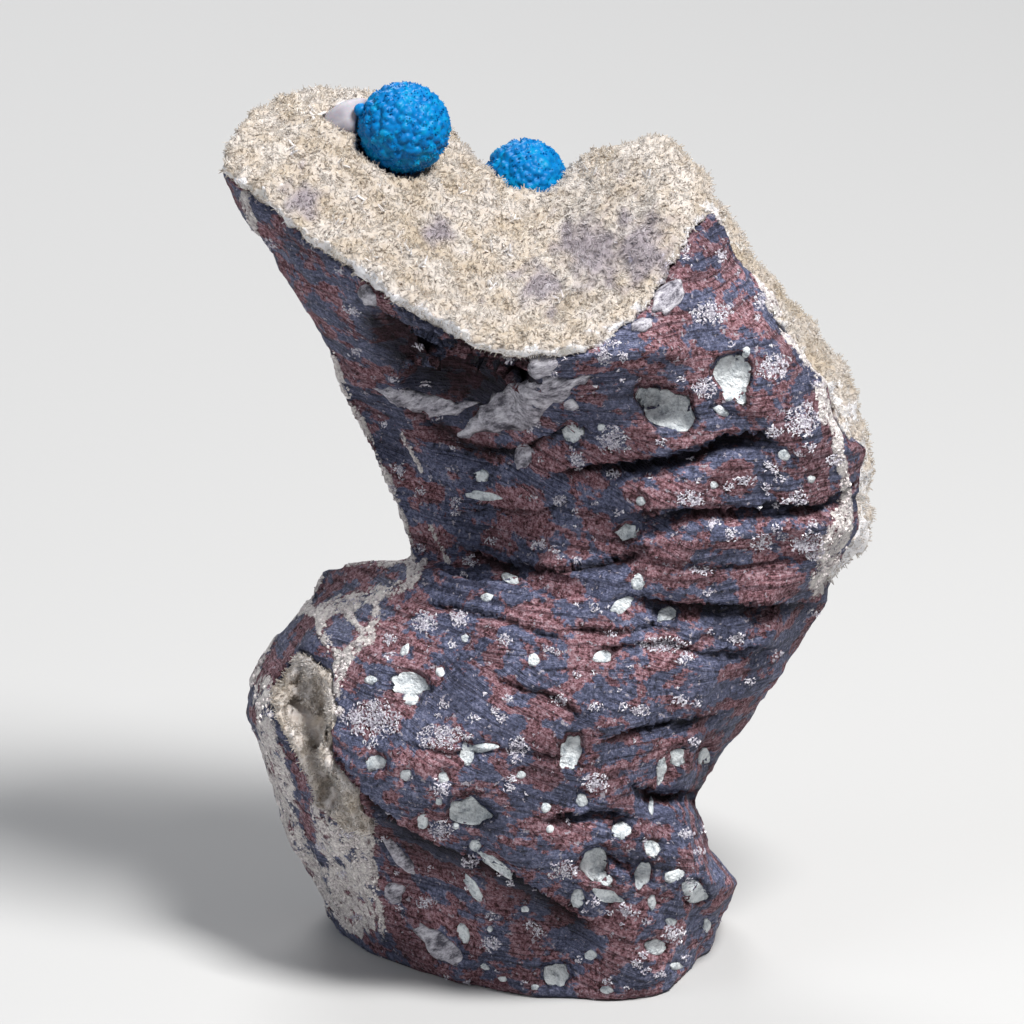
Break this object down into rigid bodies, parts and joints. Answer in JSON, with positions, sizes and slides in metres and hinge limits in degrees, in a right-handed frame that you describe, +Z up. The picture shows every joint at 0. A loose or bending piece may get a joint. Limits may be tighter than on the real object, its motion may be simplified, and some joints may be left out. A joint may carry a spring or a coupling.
{
  "type": "cavansite mineral specimen",
  "caption": "Natural mineral specimen: blue balls of radiating cavansite on a cream crystal druse over an S-shaped amygdaloidal basalt matrix.",
  "frame": {"origin": "middle of the bounding box, at the height of the flat break that the specimen rests on", "axes": "+Z up; +X to the right across the display face; -Y towards the viewer of the display face"},
  "size_m": [0.0696, 0.043, 0.0951],
  "materials": {
    "basalt": "matt, granular, mottled brick red and slate blue",
    "stilbite": "glassy cream crystals",
    "cavansite": "glassy blue crystals",
    "calcite": "smooth, greyish, slightly see-through"
  },
  "bodies": {
    "root": {"basalt_matrix": "basalt", "stilbite_druse": "stilbite", "pocket_crystals": "stilbite", "cavansite_ball_large": "cavansite", "cavansite_ball_small": "cavansite", "calcite_crystal": "calcite"}
  },
  "joints": []
}
